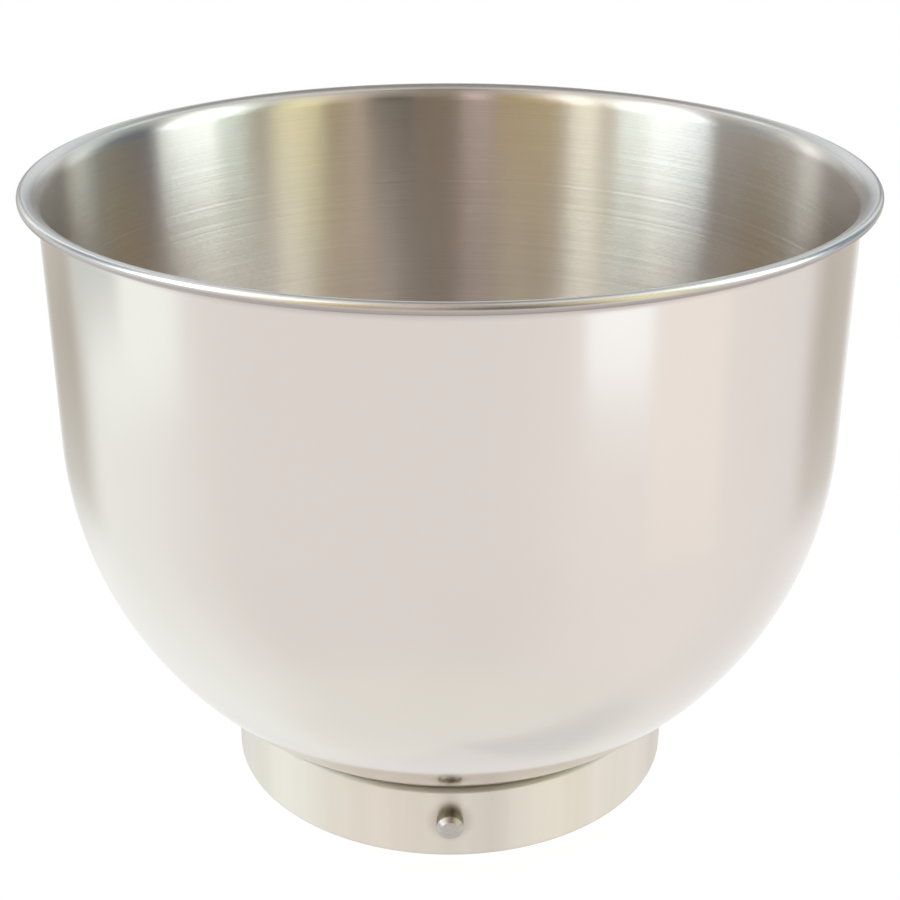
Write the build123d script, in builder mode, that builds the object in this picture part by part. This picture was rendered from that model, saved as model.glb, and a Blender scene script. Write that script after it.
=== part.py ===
from build123d import *
from math import atan2, cos, degrees, radians, sin, sqrt
import os

# Stainless steel bowl of a stand mixer, on a base ring with locking pins.
# Millimetres, +Z up the bowl's axis. The origin is the middle of the foot, on the plane it stands on.
# The front of the bowl faces -Y.

# Bowl: one sheet, measured on its outside face
bowl_sheet = 0.8
bowl_height = 180.0
wall_diameter = 220.0
body_radius = 107.5
floor_height = 7.0
floor_diameter = 66.5
floor_blend_radius = 25.0

# Rim: the wall flares out, and its edge is curled under into a hollow bead
flare_radius = 4.5
flare_angle = 70.0
lip_width = 0.3
curl_hollow_radius = 0.7
curl_angle = 255.0

# Base ring: a second sheet, upright at the foot and turned in under the bowl
ring_sheet = 1.0
ring_diameter = 132.0
shoulder_radius = 1.2
flange_width = 10.0
foot_edge_radius = 0.4

# Spot welds that hold the flange to the bowl: shallow round marks on the flange's underside
weld_count = 12
weld_diameter = 4.5
weld_depth = 0.25

# Locking pins: a chamfered head outside the ring, a shank through it and a peened head inside.
# Their drop is measured from where the ring's shoulder starts to bend.
pin_count = 3
pin_diameter = 7.5
pin_reach = 4.2
pin_chamfer = 1.2
pin_drop = 9.2
shank_diameter = 5.0
shank_clearance = 0.1
peened_diameter = 7.0
peened_height = 1.4
peened_round = 0.9
front_azimuth = -90.0

wall_radius = wall_diameter / 2
ring_radius = ring_diameter / 2
ring_inner_radius = ring_radius - ring_sheet

# The body's arc runs from the edge of the flat floor up into the upright wall
body_centre_radius = wall_radius - body_radius
floor_across = floor_diameter / 2 - body_centre_radius
floor_drop = sqrt(body_radius**2 - floor_across**2)
body_centre_height = floor_height + floor_drop
body_sweep = degrees(atan2(floor_drop, floor_across))

# The bend of the flare starts where it, the lip and the bead end at the bowl's full height
bead_radius = curl_hollow_radius + bowl_sheet
flare_rise = (flare_radius - curl_hollow_radius) * sin(radians(flare_angle))
lip_rise = lip_width * cos(radians(flare_angle))
flare_start_height = bowl_height - bead_radius - flare_rise - lip_rise

with BuildPart() as bowl_shell:
    with BuildSketch(Plane.XZ):
        with BuildLine() as bowl_line:
            body = CenterArc(
                (body_centre_radius, body_centre_height),
                body_radius,
                start_angle=-body_sweep,
                arc_size=body_sweep,
            )
            floor = Line((0, floor_height), body @ 0)
            wall = Line(body @ 1, (wall_radius, flare_start_height))
            flare = JernArc(wall @ 1, wall % 1, flare_radius, -flare_angle)
            lip = PolarLine(flare @ 1, lip_width, direction=flare % 1)
            JernArc(lip @ 1, lip % 1, curl_hollow_radius, -curl_angle)
            fillet(bowl_line.vertices().sort_by_distance(floor @ 1)[0], floor_blend_radius)
            offset(amount=bowl_sheet, side=Side.LEFT)
        make_face()
    revolve(axis=Axis.Z)

# The shoulder's bend touches both the ring's upright wall and the underside of the bowl
shoulder_centre_radius = ring_radius - shoulder_radius
shoulder_across = shoulder_centre_radius - body_centre_radius
shoulder_drop = sqrt((body_radius + shoulder_radius) ** 2 - shoulder_across**2)
shoulder_height = body_centre_height - shoulder_drop
flange_start = degrees(atan2(shoulder_drop, shoulder_across))
flange_sweep = degrees(flange_width / body_radius)
foot_round = min(foot_edge_radius, 0.4 * ring_sheet)
pin_height = shoulder_height - pin_drop

# A weld mark sits half way along the flange, square to its underside
weld_angle = flange_start + flange_sweep / 2
weld_distance = body_radius + ring_sheet
weld_place = Location(
    (
        body_centre_radius + weld_distance * cos(radians(weld_angle)),
        0,
        body_centre_height - weld_distance * sin(radians(weld_angle)),
    ),
    (0, 90 + weld_angle, 0),
)
pin_hole_place = Location((ring_radius, 0, pin_height), (0, 90, 0))

with BuildPart() as base_ring:
    with BuildSketch(Plane.XZ) as ring_section:
        with BuildLine():
            upright = Line((ring_radius, 0), (ring_radius, shoulder_height))
            shoulder = JernArc(upright @ 1, upright % 1, shoulder_radius, 180 - flange_start)
            JernArc(shoulder @ 1, shoulder % 1, body_radius, -flange_sweep)
            offset(amount=ring_sheet, side=Side.LEFT)
        make_face()
        fillet(ring_section.vertices().group_by(Axis.Y)[0], foot_round)
    revolve(axis=Axis.Z)
    with PolarLocations(0, weld_count, start_angle=180 / weld_count):
        with Locations(weld_place):
            Cylinder(weld_diameter / 2, 2 * weld_depth, mode=Mode.SUBTRACT)
    with PolarLocations(0, pin_count, start_angle=front_azimuth):
        with Locations(pin_hole_place):
            Hole((shank_diameter + shank_clearance) / 2, depth=2 * ring_sheet)


def locking_pin(azimuth):
    """One pin, from its peened head inside the ring to its chamfered end outside."""
    outward = (cos(radians(azimuth)), sin(radians(azimuth)), 0)
    with BuildPart(Plane(origin=(0, 0, pin_height), z_dir=outward)) as pin:
        with Locations((0, 0, ring_radius + pin_reach)):
            Cylinder(
                pin_diameter / 2,
                pin_reach + ring_sheet / 2,
                align=(Align.CENTER, Align.CENTER, Align.MAX),
            )
        chamfer(pin.edges().filter_by(GeomType.CIRCLE).sort_by(Axis((0, 0, 0), outward))[-1], pin_chamfer)
        with Locations((0, 0, ring_inner_radius - peened_height)):
            Cylinder(
                peened_diameter / 2,
                peened_height + ring_sheet / 2,
                align=(Align.CENTER, Align.CENTER, Align.MIN),
            )
        fillet(pin.edges().filter_by(GeomType.CIRCLE).sort_by(Axis((0, 0, 0), outward))[0], peened_round)
        # Both heads are shaped to the curved wall that they seat on
        with BuildSketch(Plane.XY):
            Circle(ring_radius)
            Circle(ring_inner_radius, mode=Mode.SUBTRACT)
        extrude(amount=pin_height + pin_diameter, mode=Mode.SUBTRACT)
        with Locations((0, 0, ring_inner_radius - peened_height / 2)):
            Cylinder(
                shank_diameter / 2,
                ring_sheet + (peened_height + pin_reach) / 2,
                align=(Align.CENTER, Align.CENTER, Align.MIN),
            )
    return pin


os.makedirs("parts", exist_ok=True)

bowl_shell.part.label = "bowl_shell"
export_step(bowl_shell.part, "parts/bowl_shell.step")

base_ring.part.label = "base_ring"
export_step(base_ring.part, "parts/base_ring.step")

for number in range(pin_count):
    pin = locking_pin(front_azimuth + number * 360 / pin_count)
    pin.part.label = f"locking_pin_{number + 1}"
    export_step(pin.part, f"parts/{pin.part.label}.step")
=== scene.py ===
# %% [markdown]
# Dressing a stand mixer's steel bowl.
#
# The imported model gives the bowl's real sizes: a drawn and spun sheet on a base ring, with three locking
# pins. This lesson gives it the looks of the real thing. Bare steel has hardly any colour of its own, so most
# of the work is in three places: a sheet whose curves are smooth enough to be a mirror, finishes that are
# polished outside and brushed inside, and a small studio for the steel to reflect.

from math import atan2, cos, degrees, hypot, pi, radians, sin

import bmesh
import bpy
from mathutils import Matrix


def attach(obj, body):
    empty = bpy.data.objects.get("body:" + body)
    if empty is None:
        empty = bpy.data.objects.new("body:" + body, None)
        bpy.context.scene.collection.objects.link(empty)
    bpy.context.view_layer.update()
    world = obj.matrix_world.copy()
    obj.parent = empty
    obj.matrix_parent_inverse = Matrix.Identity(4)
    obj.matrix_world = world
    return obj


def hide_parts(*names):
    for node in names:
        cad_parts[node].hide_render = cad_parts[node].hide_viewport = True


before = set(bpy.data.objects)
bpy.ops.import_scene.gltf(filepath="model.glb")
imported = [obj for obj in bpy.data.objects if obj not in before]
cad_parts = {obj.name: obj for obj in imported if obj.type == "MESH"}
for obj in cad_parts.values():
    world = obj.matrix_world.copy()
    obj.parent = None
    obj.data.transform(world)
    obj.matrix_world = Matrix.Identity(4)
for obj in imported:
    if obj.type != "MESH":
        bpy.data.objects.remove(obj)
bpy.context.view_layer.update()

# %% [markdown]
# The camera comes first, because every later choice is judged through it. The photograph looks down into the
# bowl from the front at about 24 degrees, from close by, so the near rim looks wider than the far one. The
# bowl's axis is in the middle of the picture, so the camera needs no shift: its place, its pitch and its
# focal length give the photograph's frame.

# %% Put the camera where the photograph was taken
CAMERA_PLACE = (0, -0.42535, 0.28685)
CAMERA_PITCH = 65.75
FOCAL_LENGTH = 63.376

camera_data = bpy.data.cameras.new("photo_camera")
camera_data.sensor_width = 36.0
camera_data.lens = FOCAL_LENGTH
camera_data.clip_start = 0.01
camera = bpy.data.objects.new("photo_camera", camera_data)
camera.location = CAMERA_PLACE
camera.rotation_euler = (radians(CAMERA_PITCH), 0, 0)
bpy.context.scene.collection.objects.link(camera)
bpy.context.scene.camera = camera
bpy.context.scene.view_settings.view_transform = "Standard"
print("camera looks down by", 90 - CAMERA_PITCH, "degrees")

# %% [markdown]
# The real bowl is one round sheet, drawn and then spun on a lathe, so its shape is one line turned about an
# axis. The same way works here. A single vertex is swept round arc after arc to draw the sheet's outside
# line, the line is spun about the bowl's axis, and the surface is given the sheet's thickness. The packed
# mesh has the same shape, but it is made of long thin triangles and has one finish. This one has even rings,
# which a mirror needs, and a map of how far each point is along the sheet, which the brushing follows.

# %% Name the sizes of the sheet, in millimetres as on its drawing
MM = 0.001
SHEET = 0.8
BODY_RADIUS = 107.5
BODY_CENTRE = (2.5, 110.008)
FLOOR_HEIGHT = 7.0
FLOOR_BLEND = 25.0
FLARE_START = 174.827
FLARE_RADIUS = 4.5
FLARE_TURN = 70.0
LIP = 0.3
CURL_HOLLOW = 0.7
CURL_TURN = 255.0

# How finely each stretch is divided, and the short first and last rings of the upright wall
FLOOR_STEPS, BLEND_STEPS, BODY_STEPS, WALL_STEPS, FLARE_STEPS, CURL_STEPS = 6, 8, 40, 6, 12, 22
WALL_FIRST, WALL_LAST = 1.5, 1.0
AROUND = 256


# %% Helpers that draw a line in the plane through the axis
def last_vertex(swept):
    """The vertex at the far end of what a spin or an extrusion made."""
    return [part for part in swept if isinstance(part, bmesh.types.BMVert)][-1]


def bend(line, tip, centre, turn, steps):
    """Sweeps the line's tip round a centre; a positive turn is clockwise, seen from the front."""
    swept = bmesh.ops.spin(
        line,
        geom=[tip],
        cent=(centre[0] * MM, 0, centre[1] * MM),
        axis=(0, 1, 0),
        angle=radians(turn),
        steps=steps,
        use_duplicate=False,
    )
    return last_vertex(swept["geom_last"])


def run(line, tip, across, up, steps=1):
    """Draws the line on by a straight run, in even steps."""
    for _ in range(steps):
        grown = bmesh.ops.extrude_vert_indiv(line, verts=[tip])["verts"]
        bmesh.ops.translate(line, verts=grown, vec=(across / steps * MM, 0, up / steps * MM))
        tip = grown[0]
    return tip


# %% Draw the outside line of the sheet, from the middle of the floor to the end of the curl
line = bmesh.new()
tip = line.verts.new((0, 0, FLOOR_HEIGHT * MM))
blend_up = FLOOR_HEIGHT + FLOOR_BLEND
blend_drop = BODY_CENTRE[1] - blend_up
blend_across = ((BODY_RADIUS - FLOOR_BLEND) ** 2 - blend_drop**2) ** 0.5
blend_centre = (BODY_CENTRE[0] + blend_across, blend_up)
blend_turn = 90 - degrees(atan2(blend_drop, blend_across))

tip = run(line, tip, blend_centre[0], 0, steps=FLOOR_STEPS)
tip = bend(line, tip, blend_centre, -blend_turn, BLEND_STEPS)
tip = bend(line, tip, BODY_CENTRE, blend_turn - 90, BODY_STEPS)
tip = run(line, tip, 0, WALL_FIRST)
tip = run(line, tip, 0, FLARE_START - BODY_CENTRE[1] - (WALL_FIRST + WALL_LAST), steps=WALL_STEPS)
tip = run(line, tip, 0, WALL_LAST)
tip = bend(line, tip, (tip.co.x / MM + FLARE_RADIUS, FLARE_START), FLARE_TURN, FLARE_STEPS)
lip_heading = radians(90 - FLARE_TURN)
tip = run(line, tip, LIP * cos(lip_heading), LIP * sin(lip_heading))
curl_centre = (
    tip.co.x / MM + CURL_HOLLOW * sin(lip_heading),
    tip.co.z / MM - CURL_HOLLOW * cos(lip_heading),
)
tip = bend(line, tip, curl_centre, CURL_TURN, CURL_STEPS)
print("line of", len(line.verts), "points; curl's centre", [round(c, 3) for c in curl_centre])

# %% Note how far along the sheet each point of the line is
along = line.verts.layers.float.new("along")
line.verts.ensure_lookup_table()
step_from = line.verts[0]
seen = {step_from}
while True:
    beside = [edge.other_vert(step_from) for edge in step_from.link_edges]
    onward = [vertex for vertex in beside if vertex not in seen]
    if not onward:
        break
    onward[0][along] = step_from[along] + (onward[0].co - step_from.co).length
    step_from = onward[0]
    seen.add(step_from)
print("sheet is", round(step_from[along] / MM, 1), "mm from the middle to the end of the curl")

# %% Spin the line about the bowl's axis and give the sheet its thickness
bowl = line
bmesh.ops.spin(
    bowl,
    geom=bowl.verts[:] + bowl.edges[:],
    cent=(0, 0, 0),
    axis=(0, 0, 1),
    angle=2 * pi,
    steps=AROUND,
    use_merge=True,
    use_duplicate=False,
)
bmesh.ops.remove_doubles(bowl, verts=bowl.verts[:], dist=1e-6)
bmesh.ops.recalc_face_normals(bowl, faces=bowl.faces[:])
# The farthest point is in the curl, where the sheet's outside is turned in, so all normals came out reversed
bmesh.ops.reverse_faces(bowl, faces=bowl.faces[:])
thickened = bmesh.ops.solidify(bowl, geom=bowl.faces[:], thickness=SHEET * MM)
inside_faces = [part for part in thickened["geom"] if isinstance(part, bmesh.types.BMFace)]
open_edges = sum(len(edge.link_faces) != 2 for edge in bowl.edges)
volume = bowl.calc_volume(signed=True) / MM**3
print(len(bowl.faces), "faces,", open_edges, "open edges,", round(volume), "mm3")

# %% [markdown]
# The brushed inside and the polished outside are two finishes on one sheet, so they are two material slots on
# one piece. The lathe tool brushes the inside as far as the flare; the bead belongs to the outside. The
# brushing runs round the bowl, so the piece also gets a map: U is the distance along the sheet, in metres,
# and V is the way round, in turns. The map's U direction is what the brushed finish is stretched along.

# %% Give the two finishes their faces, and lay out the map
POLISHED, BRUSHED = 0, 1
BRUSHED_TO_HEIGHT = 178.8
BRUSHED_TO_RADIUS = 112.8

for face in inside_faces:
    middle = face.calc_center_median() / MM
    if middle.z < BRUSHED_TO_HEIGHT and hypot(middle.x, middle.y) < BRUSHED_TO_RADIUS:
        face.material_index = BRUSHED

along_and_round = bowl.loops.layers.uv.new("along_and_round")
for face in bowl.faces:
    face.smooth = True
    middle = face.calc_center_median()
    for corner in face.loops:
        at = corner.vert.co
        turned = atan2(middle.x * at.y - middle.y * at.x, middle.x * at.x + middle.y * at.y)
        way_round = (atan2(middle.x, middle.y) - turned) / (2 * pi)
        corner[along_and_round].uv = (corner.vert[along], way_round)
brushed_count = sum(face.material_index == BRUSHED for face in bowl.faces)
print(brushed_count, "brushed faces,", len(bowl.faces) - brushed_count, "polished")

# %% Make the bowl a piece of the scene
bowl_mesh = bpy.data.meshes.new("spun_bowl")
bowl.to_mesh(bowl_mesh)
bowl.free()
spun_bowl = bpy.data.objects.new("spun_bowl", bowl_mesh)
bpy.context.scene.collection.objects.link(spun_bowl)
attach(spun_bowl, "root")
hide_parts("bowl_shell")
print("spun bowl is", [round(side / MM, 2) for side in spun_bowl.dimensions], "mm")

# %% [markdown]
# Every finish here is a graph of small nodes, so a few helpers keep the graphs readable. The first adds any
# shader node and feeds its sockets, with a number, a colour or another node's output. The second is short
# for one step of arithmetic, and the others build on these two. The world is built with them too.


# %% Helpers that build a graph of nodes
def add_node(tree, kind, feeds=(), **settings):
    """Adds a node, sets it up, and feeds its sockets by name or number."""
    node = tree.nodes.new("ShaderNode" + kind)
    for setting, value in settings.items():
        setattr(node, setting, value)
    for socket, value in dict(feeds).items():
        if isinstance(value, bpy.types.NodeSocket):
            tree.links.new(value, node.inputs[socket])
        else:
            node.inputs[socket].default_value = value
    return node


def reckon(tree, operation, *terms):
    """The result of one Math node; a term is a number or another node's output."""
    return add_node(tree, "Math", enumerate(terms), operation=operation).outputs[0]


def spread(tree, value, from_low, from_high, to_low, to_high, soft=False):
    """Maps one range of a value to another, and holds it within the second."""
    feeds = {
        "Value": value,
        "From Min": from_low,
        "From Max": from_high,
        "To Min": to_low,
        "To Max": to_high,
    }
    way = "SMOOTHSTEP" if soft else "LINEAR"
    return add_node(tree, "MapRange", feeds, interpolation_type=way).outputs["Result"]


def blend_colours(tree, share, first, second):
    """The first colour where the share is 0, and the second where it is 1."""
    mix = add_node(tree, "Mix", {"Factor": share}, data_type="RGBA")
    for socket, colour in ((6, first), (7, second)):
        if isinstance(colour, bpy.types.NodeSocket):
            tree.links.new(colour, mix.inputs[socket])
        else:
            mix.inputs[socket].default_value = (*colour, 1)
    return mix.outputs[2]


# A noise seldom leaves this range
MOST_OF_NOISE = (0.3, 0.7)


def noise(tree, place, scale, detail):
    """Soft random patches, 0 to 1, so many to the metre."""
    feeds = {"Vector": place, "Scale": scale, "Detail": detail}
    return add_node(tree, "TexNoise", feeds).outputs["Fac"]


def new_metal(name, roughness, anisotropy=0.0, rotation=0.0):
    """A node material with a metal shader, of this roughness where nothing feeds it; gives both to dress."""
    material = bpy.data.materials.new(name)
    material.use_nodes = True
    shader = material.node_tree.nodes["Principled BSDF"]
    shader.inputs["Metallic"].default_value = 1.0
    shader.inputs["Roughness"].default_value = roughness
    shader.inputs["Anisotropic"].default_value = anisotropy
    shader.inputs["Anisotropic Rotation"].default_value = rotation
    return material, material.node_tree, shader


# %% [markdown]
# Stainless steel reflects about two thirds of the light, a little more of the red than of the blue. Written
# as a colour, that is all it needs: what makes it look like steel is what it reflects. The outside is buffed
# almost to a mirror. Four small things keep it from looking like a computer's mirror. Its gloss isn't even,
# because a buffing wheel passes over it in patches. Handling leaves a film too thin to see as a stain, which
# takes a percent or two off the colour. Painted shade darkens the narrow bands just above the base ring and
# under the rolled rim, where the crease and the roll shade the sheet. And the bead was rolled last, which
# left it duller.
# Heights are in metres, and each pair says where a change starts and where it is complete.

# %% Polish the outside
STEEL = (0.70, 0.64, 0.605)
STEEL_FILMED = (0.685, 0.627, 0.59)
STEEL_PAINTED_SHADE_ABOVE_RING = (0.505, 0.49, 0.495)
STEEL_PAINTED_SHADE_UNDER_ROLL = (0.40, 0.35, 0.34)
STEEL_ROLLED = (0.68, 0.645, 0.65)
FILM_PATCHES, GLOSS_PATCHES = 16, 55
MIRROR_GLOSS = (0.115, 0.15)
BEAD_DULLER_BY = 0.18
ABOVE_RING = (0.0215, 0.0315)
UP_TO_ROLL = (0.1740, 0.1770)
PAST_ROLL = (0.1780, 0.1790)
ONTO_BEAD = (0.1766, 0.1776)

polished, tree, shader = new_metal("polished_steel", 0.14)
place = add_node(tree, "TexCoord").outputs["Object"]
film = spread(tree, noise(tree, place, FILM_PATCHES, 3), 0.45, 0.7, 0, 1, soft=True)
steel = blend_colours(tree, film, STEEL, STEEL_FILMED)

height_up = add_node(tree, "SeparateXYZ", {0: place}).outputs["Z"]
# Painted shade: the band just above the base ring is darkened, where the crease shades the sheet.
shade_above_ring = spread(tree, height_up, *ABOVE_RING, 1, 0, soft=True)
steel = blend_colours(tree, shade_above_ring, steel, STEEL_PAINTED_SHADE_ABOVE_RING)
on_bead = spread(tree, height_up, *ONTO_BEAD, 0, 1, soft=True)
steel = blend_colours(tree, on_bead, steel, STEEL_ROLLED)
# Painted shade: the wall under the rolled rim and the roll's lower half are darkened, where the roll shades
# them.
up_to_roll = spread(tree, height_up, *UP_TO_ROLL, 0, 1, soft=True)
past_roll = spread(tree, height_up, *PAST_ROLL, 1, 0, soft=True)
shade_under_roll = reckon(tree, "MULTIPLY", up_to_roll, past_roll)
steel = blend_colours(tree, shade_under_roll, steel, STEEL_PAINTED_SHADE_UNDER_ROLL)
tree.links.new(steel, shader.inputs["Base Color"])

gloss = spread(tree, noise(tree, place, GLOSS_PATCHES, 4), *MOST_OF_NOISE, *MIRROR_GLOSS)
duller = reckon(tree, "MULTIPLY_ADD", on_bead, BEAD_DULLER_BY, gloss)
tree.links.new(duller, shader.inputs["Roughness"])
bowl_mesh.materials.append(polished)
print("polished outside: colour", STEEL, "and roughness", MIRROR_GLOSS, "with darker bands by ring and roll")

# %% [markdown]
# The inside was brushed on the lathe, with grit that cut fine grooves round the bowl. Across the grooves the
# light is spread widely and along them hardly at all, so each lamp is drawn out into an upright band with
# rather sharp sides. Two things together make that. The shader's own anisotropy spreads light along the
# sheet, and takes its direction from the map's U. It is too even to be grit, so each groove also leans its
# own way: a random lean for every hundredth of a millimetre of sheet, more often up than down, because the
# tool was fed towards the rim. A slower noise, drawn out along the grooves, gives the fine lines that the eye
# can follow, as a small change of colour and gloss.

# %% Brush the inside
GROOVE = 0.00001
LEAN_DOWN, LEAN_UP = -0.05, 0.29
GROOVE_SHUFFLE = 7919.0
LINES_PER_METRE = 1800
LINES_PER_TURN = 9
BRUSHED_STEEL = ((0.685, 0.625, 0.585), (0.72, 0.66, 0.63))
BRUSHED_GLOSS = (0.277, 0.293)

brushed, tree, shader = new_metal("brushed_steel", 0.285, anisotropy=1.0)
upward = add_node(tree, "Tangent", direction_type="UV_MAP", uv_map="along_and_round").outputs["Tangent"]
tree.links.new(upward, shader.inputs["Tangent"])
mapped = add_node(tree, "UVMap", uv_map="along_and_round").outputs["UV"]
along_sheet = add_node(tree, "SeparateXYZ", {0: mapped})

groove = reckon(tree, "SNAP", along_sheet.outputs["X"], GROOVE)
shuffled = reckon(tree, "MULTIPLY", groove, GROOVE_SHUFFLE)
chance = add_node(tree, "TexWhiteNoise", {"W": shuffled}, noise_dimensions="1D")
lean = spread(tree, chance.outputs["Value"], 0, 1, LEAN_DOWN, LEAN_UP)
tilt = add_node(tree, "VectorMath", {0: upward, "Scale": lean}, operation="SCALE").outputs["Vector"]
upright = add_node(tree, "NewGeometry").outputs["Normal"]
leaned = add_node(tree, "VectorMath", {0: upright, 1: tilt}, operation="ADD").outputs["Vector"]
even = add_node(tree, "VectorMath", {0: leaned}, operation="NORMALIZE").outputs["Vector"]
tree.links.new(even, shader.inputs["Normal"])

lines_place = add_node(
    tree,
    "VectorMath",
    {0: mapped, 1: (LINES_PER_METRE, LINES_PER_TURN, 0)},
    operation="MULTIPLY",
).outputs["Vector"]
lines = noise(tree, lines_place, 1, 3)
tone = blend_colours(tree, spread(tree, lines, *MOST_OF_NOISE, 0, 1), *BRUSHED_STEEL)
tree.links.new(tone, shader.inputs["Base Color"])
tree.links.new(spread(tree, lines, *MOST_OF_NOISE, *BRUSHED_GLOSS), shader.inputs["Roughness"])
bowl_mesh.materials.append(brushed)
print("brushed inside: grooves", GROOVE * 1e6, "micrometres apart, leaning", LEAN_DOWN, "to", LEAN_UP)

# %% [markdown]
# The base ring is pressed from another sheet and only satin polished, up and down, so it shows soft upright
# streaks and no clear reflections. Round the pins it is darkened with painted shade and reflection, where
# the pins shade the ring and mirror in it. On the shoulder by the seam it is darkened with painted shade,
# where the crease shades it, and it is duller there. The foot is darker over its lowest 1.2 mm, and each weld
# has left a tint of heat. Pins and welds repeat round the axis, so the way round is folded into one share of
# a turn, and the distance from a mark is measured there. One helper finds them all.


# %% A helper that measures how far a point is from marks that repeat round the axis
def distance_from_marks(tree, place, count, first, height, radius=None):
    """Metres from the nearest mark; with no radius, only across and up are counted."""
    part = add_node(tree, "SeparateXYZ", {0: place}).outputs
    turn = reckon(tree, "ARCTAN2", part["Y"], part["X"])
    share = pi / count
    folded = reckon(tree, "WRAP", reckon(tree, "SUBTRACT", turn, radians(first)), share, -share)
    out = add_node(tree, "CombineXYZ", {0: part["X"], 1: part["Y"]})
    reach = add_node(tree, "VectorMath", {0: out.outputs[0]}, operation="LENGTH").outputs["Value"]
    across = reckon(tree, "MULTIPLY", reach, reckon(tree, "SINE", folded))
    up = reckon(tree, "SUBTRACT", part["Z"], height)
    gap = 0.0
    if radius is not None:
        inward = reckon(tree, "MULTIPLY", reach, reckon(tree, "COSINE", folded))
        gap = reckon(tree, "SUBTRACT", inward, radius)
    far = add_node(tree, "CombineXYZ", {0: across, 1: up, 2: gap})
    return add_node(tree, "VectorMath", {0: far.outputs[0]}, operation="LENGTH").outputs["Value"]


# %% Finish the base ring
RING_STEEL, RING_SHADE = (0.755, 0.695, 0.63), (0.70, 0.64, 0.575)
PIN_PAINTED_SHADE, BY_WELD = (0.47, 0.41, 0.35), (0.55, 0.42, 0.25)
SEAM_PAINTED_SHADE, DARKER_AT_FOOT = (0.68, 0.64, 0.61), (0.50, 0.46, 0.42)
STREAKS_PER_METRE, STREAK_DRAW = 70, (1, 1, 0.04)
SATIN_GLOSS = (0.31, 0.37)
ONTO_SHOULDER, SHOULDER_DULLER_BY = (0.0207, 0.0215), 0.3
DARKER_FOOT_HEIGHT = 0.0012
PIN_COUNT, FIRST_PIN, PIN_HEIGHT, PIN_RADIUS = 3, -90, 0.01173, 0.00375
WELD_COUNT, FIRST_WELD = 12, 15
WELD_HEIGHT, WELD_FROM_AXIS, WELD_RADIUS = 0.0183, 0.0605, 0.00225

ring_steel, tree, shader = new_metal("ring_steel", 0.34, anisotropy=0.7, rotation=0.25)
round_the_ring = add_node(tree, "Tangent", direction_type="RADIAL", axis="Z").outputs["Tangent"]
tree.links.new(round_the_ring, shader.inputs["Tangent"])
place = add_node(tree, "TexCoord").outputs["Object"]
drawn_up = add_node(tree, "VectorMath", {0: place, 1: STREAK_DRAW}, operation="MULTIPLY").outputs["Vector"]
streaks = noise(tree, drawn_up, STREAKS_PER_METRE, 4)
steel = blend_colours(tree, spread(tree, streaks, 0.35, 0.68, 0, 1), RING_STEEL, RING_SHADE)

from_pin = distance_from_marks(tree, place, PIN_COUNT, FIRST_PIN, PIN_HEIGHT)
# Painted shade and reflection: darker round each pin, where the pin shades the ring and mirrors in it.
pin_painted_shade = spread(tree, from_pin, PIN_RADIUS, PIN_RADIUS * 2, 0.6, 0, soft=True)
steel = blend_colours(tree, pin_painted_shade, steel, PIN_PAINTED_SHADE)
from_weld = distance_from_marks(tree, place, WELD_COUNT, FIRST_WELD, WELD_HEIGHT, WELD_FROM_AXIS)
heat_tint = spread(tree, from_weld, WELD_RADIUS, WELD_RADIUS * 2.2, 0.8, 0, soft=True)
steel = blend_colours(tree, heat_tint, steel, BY_WELD)
height_up = add_node(tree, "SeparateXYZ", {0: place}).outputs["Z"]
# Painted shade: the shoulder by the seam is darkened, where the crease shades it; it is also duller there.
shoulder_shade_and_dulling = spread(tree, height_up, *ONTO_SHOULDER, 0, 1, soft=True)
steel = blend_colours(tree, reckon(tree, "MULTIPLY", shoulder_shade_and_dulling, 0.85), steel, SEAM_PAINTED_SHADE)
# Darker over the lowest 1.2 mm of the foot.
darker_foot = spread(tree, height_up, 0, DARKER_FOOT_HEIGHT, 0.35, 0, soft=True)
steel = blend_colours(tree, darker_foot, steel, DARKER_AT_FOOT)
tree.links.new(steel, shader.inputs["Base Color"])

satin = spread(tree, streaks, *MOST_OF_NOISE, *SATIN_GLOSS)
dull = reckon(tree, "MULTIPLY_ADD", shoulder_shade_and_dulling, SHOULDER_DULLER_BY, satin)
tree.links.new(dull, shader.inputs["Roughness"])
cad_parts["base_ring"].material_slots[0].material = ring_steel
print("ring: satin, shaded round", PIN_COUNT, "pins and tinted round", WELD_COUNT, "welds")

# %% [markdown]
# The pins are turned from bar. A turned face has fine circles round its axis, so the distance from the pin's
# axis drives a wave, and the wave is a very shallow bump. The gloss also changes a little from pin to pin and
# across each, where the ends have rubbed in the slots of the mixer. The sides of the heads are darkened with
# painted shade.

# %% Finish the pins
CIRCLE_SPACING, CIRCLE_DEPTH = 0.00028, 0.00002
RUBBED_PATCHES = 900
RUBBED_GLOSS = (0.30, 0.40)
RUBBED_STEEL = ((0.44, 0.41, 0.395), (0.51, 0.475, 0.455))
SIDE_PAINTED_SHADE = (0.24, 0.23, 0.225)
ONTO_END = (0.0682, 0.0692)

pin_steel, tree, shader = new_metal("pin_steel", 0.34)
place = add_node(tree, "TexCoord").outputs["Object"]
from_axis = distance_from_marks(tree, place, PIN_COUNT, FIRST_PIN, PIN_HEIGHT)
circles = reckon(tree, "SINE", reckon(tree, "MULTIPLY", from_axis, 2 * pi / CIRCLE_SPACING))
turned = add_node(tree, "Bump", {"Strength": 0.25, "Distance": CIRCLE_DEPTH, "Height": circles})
tree.links.new(turned.outputs["Normal"], shader.inputs["Normal"])
rubbed = noise(tree, place, RUBBED_PATCHES, 3)
tree.links.new(spread(tree, rubbed, *MOST_OF_NOISE, *RUBBED_GLOSS), shader.inputs["Roughness"])
end_tone = blend_colours(tree, spread(tree, rubbed, *MOST_OF_NOISE, 0, 1), *RUBBED_STEEL)
flat_place = add_node(tree, "VectorMath", {0: place, 1: (1, 1, 0)}, operation="MULTIPLY").outputs["Vector"]
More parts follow.
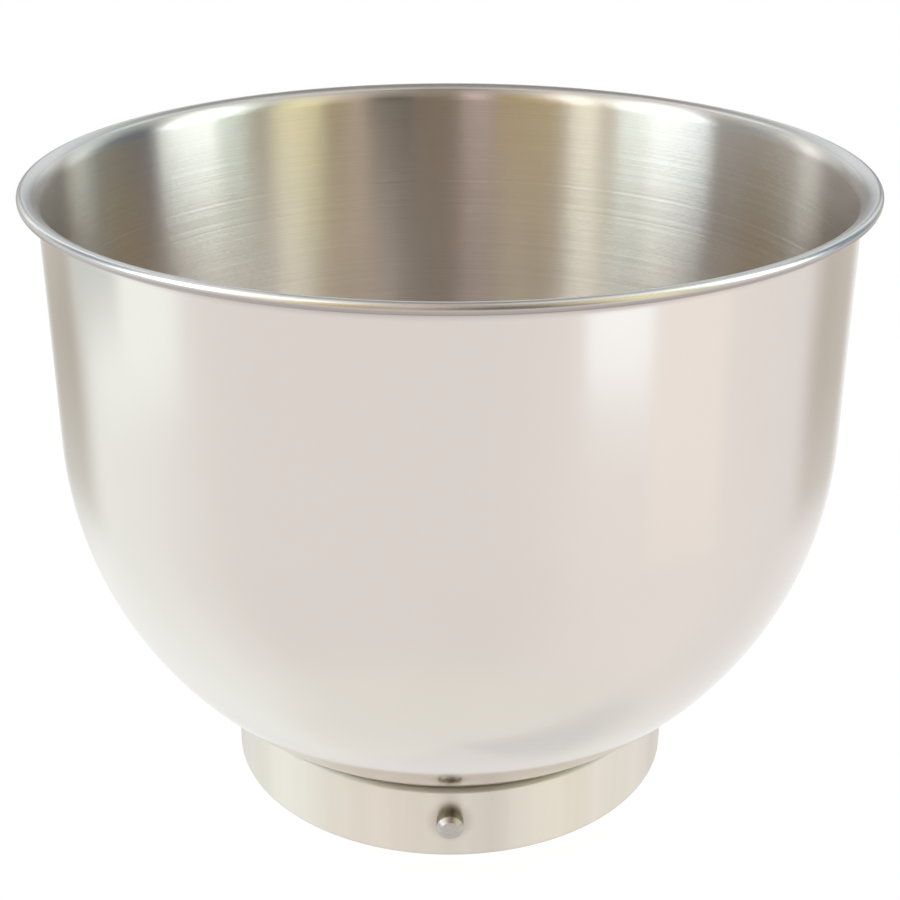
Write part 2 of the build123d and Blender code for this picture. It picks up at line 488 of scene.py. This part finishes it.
reach = add_node(tree, "VectorMath", {0: flat_place}, operation="LENGTH").outputs["Value"]
# Painted shade: the sides of the heads are darkened.
shaded_side = spread(tree, reach, *ONTO_END, 0.8, 0, soft=True)
tree.links.new(blend_colours(tree, shaded_side, end_tone, SIDE_PAINTED_SHADE), shader.inputs["Base Color"])
for number in range(1, PIN_COUNT + 1):
    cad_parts[f"locking_pin_{number}"].material_slots[0].material = pin_steel
print("pins: turned circles", round(CIRCLE_SPACING / MM, 2), "mm apart")

# %% [markdown]
# The photograph has a plain white ground. A white disc carries the bowl's soft shadow, and only for the
# camera most of its brightness is its own, so that it meets the white background without an edge. Steel
# doesn't mirror the disc: it reflects the lower half of the room instead, which is as pale.

# %% Lay the floor
FLOOR_RADIUS = 0.42
FLOOR_WHITE = (0.95, 0.95, 0.95, 1)
GLOW_STRENGTH, GLOW_SHARE = 1.03, 0.93
PURE_WHITE = (1, 1, 1, 1)

floor = bmesh.new()
bmesh.ops.create_circle(floor, cap_ends=True, segments=96, radius=FLOOR_RADIUS)
floor_mesh = bpy.data.meshes.new("pale_floor")
floor.to_mesh(floor_mesh)
floor.free()
pale_floor = bpy.data.objects.new("pale_floor", floor_mesh)
bpy.context.scene.collection.objects.link(pale_floor)
pale_floor.visible_glossy = False

floor_finish = bpy.data.materials.new("pale_floor")
floor_finish.use_nodes = True
tree = floor_finish.node_tree
tree.nodes.clear()
matt = add_node(tree, "BsdfDiffuse", {"Color": FLOOR_WHITE})
glow = add_node(tree, "Emission", {"Color": PURE_WHITE, "Strength": GLOW_STRENGTH})
seen_by_camera = add_node(tree, "LightPath").outputs["Is Camera Ray"]
share = spread(tree, seen_by_camera, 0, 1, 0, GLOW_SHARE)
ground = add_node(tree, "MixShader", {"Fac": share, 1: matt.outputs[0], 2: glow.outputs[0]})
add_node(tree, "OutputMaterial", {"Surface": ground.outputs[0]})
floor_mesh.materials.append(floor_finish)
print("floor", round(pale_floor.dimensions.x, 2), "m across")

# %% [markdown]
# The studio is the last piece, and for steel it is half of the look. The camera and everything matt see
# plain white of strength 1. Only the steel sees the room: a ring of panels round the bowl, each with a
# compass direction, measured from the front towards the right, and a lowest and a highest elevation. The
# polished outside looks down past its own wall, so it mirrors the table, pale with a few soft lights on it.
# The brushed inside and the bead look up over the rim, so they mirror the upper panels: a wide lamp on each
# side, warm walls between them, a dark gap in front where the photographer stands, and a white backdrop
# behind. The flare leans back and mirrors the ceiling, which is grey with a pale part over each lamp.

# %% Find each direction's compass bearing and elevation
world = bpy.data.worlds.new("studio")
bpy.context.scene.world = world
world.use_nodes = True
world.cycles.sampling_method = "NONE"
tree = world.node_tree
tree.nodes.clear()
direction = add_node(tree, "SeparateXYZ", {0: add_node(tree, "TexCoord").outputs["Generated"]}).outputs
to_front = reckon(tree, "MULTIPLY", direction["Y"], -1)
compass = reckon(tree, "DEGREES", reckon(tree, "ARCTAN2", direction["X"], to_front))
elevation = reckon(tree, "DEGREES", reckon(tree, "ARCSINE", direction["Z"]))


# %% Helpers that hang a panel in the room
def within(tree, angle, middle, width, softness):
    """1 inside a range of angles and 0 outside it, with soft edges."""
    off = reckon(tree, "ABSOLUTE", reckon(tree, "WRAP", reckon(tree, "SUBTRACT", angle, middle), 180, -180))
    return spread(tree, off, width / 2 + softness / 2, width / 2 - softness / 2, 0, 1, soft=True)


def hang_panel(tree, room, colour, way, width, low, high, softness, fade):
    """Covers a part of the room with a colour; the softness is of its sides and the fade of its ends."""
    beside = within(tree, compass, way, width, softness)
    upright = within(tree, elevation, (low + high) / 2, high - low, fade)
    return blend_colours(tree, reckon(tree, "MULTIPLY", beside, upright), room, colour)


# %% List the panels: colour, compass direction, width, lowest and highest elevation, softness and fade
WALLS = (0.56, 0.50, 0.40)
TABLE = [
    ((1.00, 1.00, 0.99), 0, 360, -95, -9, 1, 4),
    ((1.03, 1.06, 1.02), 0, 360, -95, -56, 1, 24),
    ((1.10, 1.17, 1.15), -112, 70, -66, -12, 50, 16),
    ((1.07, 1.07, 1.05), 62, 70, -60, -12, 40, 20),
    ((0.88, 0.91, 0.91), 125, 60, -90, -62, 40, 14),
    ((0.98, 1.00, 1.00), 180, 50, -90, -12, 20, 20),
]
UPPER_ROOM = [
    ((0.56, 0.54, 0.46), 0, 360, 46, 95, 1, 12),
    ((0.42, 0.39, 0.33), 5, 64, 44, 88, 14, 6),
    ((1.12, 1.14, 1.08), 80, 66, 45, 84, 16, 8),
    ((1.12, 1.14, 1.08), -74, 74, 45, 84, 16, 8),
    ((0.25, 0.26, 0.25), 180, 60, -13, 40, 16, 12),
    ((1.04, 1.11, 1.12), 180, 44, 13, 38, 8, 5),
    ((0.30, 0.28, 0.24), 180, 80, 38, 86, 10, 8),
    ((0.24, 0.19, 0.12), 4.3, 15.5, -9, 40, 2, 8),
    ((0.00, 0.00, 0.00), 19.7, 15.5, -9, 40, 2, 8),
]
LEFT_SIDE = [
    ((0.68, 0.56, 0.51), -9.7, 11.5, -9, 42, 2, 8),
    ((1.40, 1.20, 1.22), -9.5, 9, 32, 58, 2, 12),
    ((0.62, 0.43, 0.11), -20.5, 10, -9, 42, 2, 8),
    ((0.70, 0.55, 0.17), -30.5, 10, -9, 42, 2, 8),
    ((0.38, 0.27, 0.00), -37.8, 4.5, -9, 42, 2, 8),
    ((1.64, 1.64, 1.26), -43.9, 10.5, -9, 42, 2, 8),
    ((3.00, 3.00, 2.90), -47, 14, 32, 60, 2, 10),
    ((0.44, 0.25, 0.00), -52, 6, -9, 36, 2, 8),
    ((2.22, 2.60, 2.50), -60.5, 11, 3, 50, 2, 6),
    ((3.10, 3.62, 3.78), -77.5, 23, 3, 50, 2, 6),
    ((0.24, 0.29, 0.33), -112, 44, 12, 38, 2.5, 6),
    ((0.84, 0.88, 0.88), -112, 44, -5, 12, 2.5, 6),
    ((1.85, 1.95, 1.85), -135, 10, 6, 66, 2.5, 6),
    ((0.85, 0.95, 1.00), -147, 12, 6, 66, 2.5, 6),
]
RIGHT_SIDE = [
    ((0.00, 0.00, 0.00), 36.5, 8, -9, 14, 2, 6),
    ((1.02, 0.78, 0.32), 36.5, 8, 14, 32, 2, 6),
    ((0.42, 0.40, 0.34), 30, 6.5, -9, 14, 2, 6),
    ((1.02, 0.76, 0.48), 30, 6.5, 14, 32, 2, 6),
    ((1.42, 1.38, 0.66), 50.5, 18, -9, 42, 2, 8),
    ((0.40, 0.24, 0.02), 63.2, 8, -9, 18, 2, 8),
    ((0.00, 0.00, 0.00), 63.2, 8.5, 18, 42, 2, 8),
    ((1.16, 1.54, 1.46), 72.8, 10.5, 3, 50, 2, 6),
    ((3.20, 3.78, 3.72), 90, 24, 3, 50, 2, 6),
    ((0.40, 0.46, 0.38), 131, 8, -5, 40, 2.5, 6),
    ((0.00, 0.03, 0.10), 115, 28, 12, 34, 2.5, 6),
    ((0.06, 0.16, 0.28), 115, 28, -5, 12, 2.5, 6),
    ((1.14, 1.38, 1.40), 142, 14, 6, 66, 5, 6),
]
ON_THE_TABLE = [
    ((0.66, 0.63, 0.57), 135, 34, -26, -12, 16, 12),
    ((0.60, 0.58, 0.52), -140, 34, -26, -12, 16, 14),
    ((1.36, 1.46, 1.50), 46, 20, -22, -12, 5, 3.5),
    ((1.16, 1.14, 1.10), 68, 24, -27, -12, 6, 8),
    ((1.24, 1.35, 1.34), -95, 36, -22, -12, 12, 4),
    ((0.80, 0.88, 0.86), -112, 24, -19, -10, 6, 4),
]
panels = TABLE + UPPER_ROOM + LEFT_SIDE + RIGHT_SIDE + ON_THE_TABLE
print(len(panels), "panels; the brightest is", max(max(colour) for colour, *_ in panels))

# %% Hang the panels, and show them only to the steel
room = WALLS
for colour, way, width, low, high, softness, fade in panels:
    room = hang_panel(tree, room, colour, way, width, low, high, softness, fade)
seen_by = add_node(tree, "LightPath").outputs
plain_for = reckon(tree, "MAXIMUM", seen_by["Is Camera Ray"], seen_by["Is Diffuse Ray"])
plain_light = add_node(tree, "Background", {"Color": PURE_WHITE, "Strength": 1.0}).outputs[0]
studio_light = add_node(tree, "Background", {"Color": room, "Strength": 1.0}).outputs[0]
either = add_node(tree, "MixShader", {"Fac": plain_for, 1: studio_light, 2: plain_light})
add_node(tree, "OutputWorld", {"Surface": either.outputs[0]})
print("world of", len(tree.nodes), "nodes")
